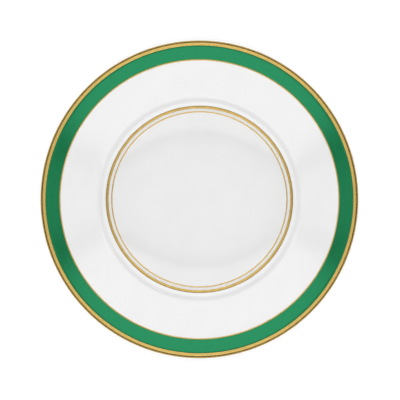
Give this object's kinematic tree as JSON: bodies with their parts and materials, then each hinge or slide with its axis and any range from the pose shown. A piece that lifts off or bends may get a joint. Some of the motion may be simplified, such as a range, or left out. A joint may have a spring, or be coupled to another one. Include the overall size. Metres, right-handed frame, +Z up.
{
  "type": "dinner plate",
  "caption": "Round white china dinner plate with a sloping flat rim, a shallow well and a foot ring, decorated with a green band at the edge and gold lines on the rim and in the well.",
  "frame": {"origin": "middle of the circle that the foot ring stands on, at table height", "axes": "+Z up along the axis that the plate is turned about; +X and +Y are any two level directions at right angles, as the plate is the same all round"},
  "size_m": [0.27, 0.27, 0.0248],
  "materials": {
    "biscuit": "matte",
    "glaze": "gloss",
    "green_enamel": "gloss",
    "gold": "satin"
  },
  "bodies": {
    "root": {"porcelain_body": "biscuit", "glaze_coat": "glaze", "base_glaze": "glaze", "green_enamel_band": "green_enamel", "rim_gold_band": "gold", "border_gold_line": "gold", "well_gold_band": "gold", "well_gold_line": "gold"}
  },
  "joints": []
}
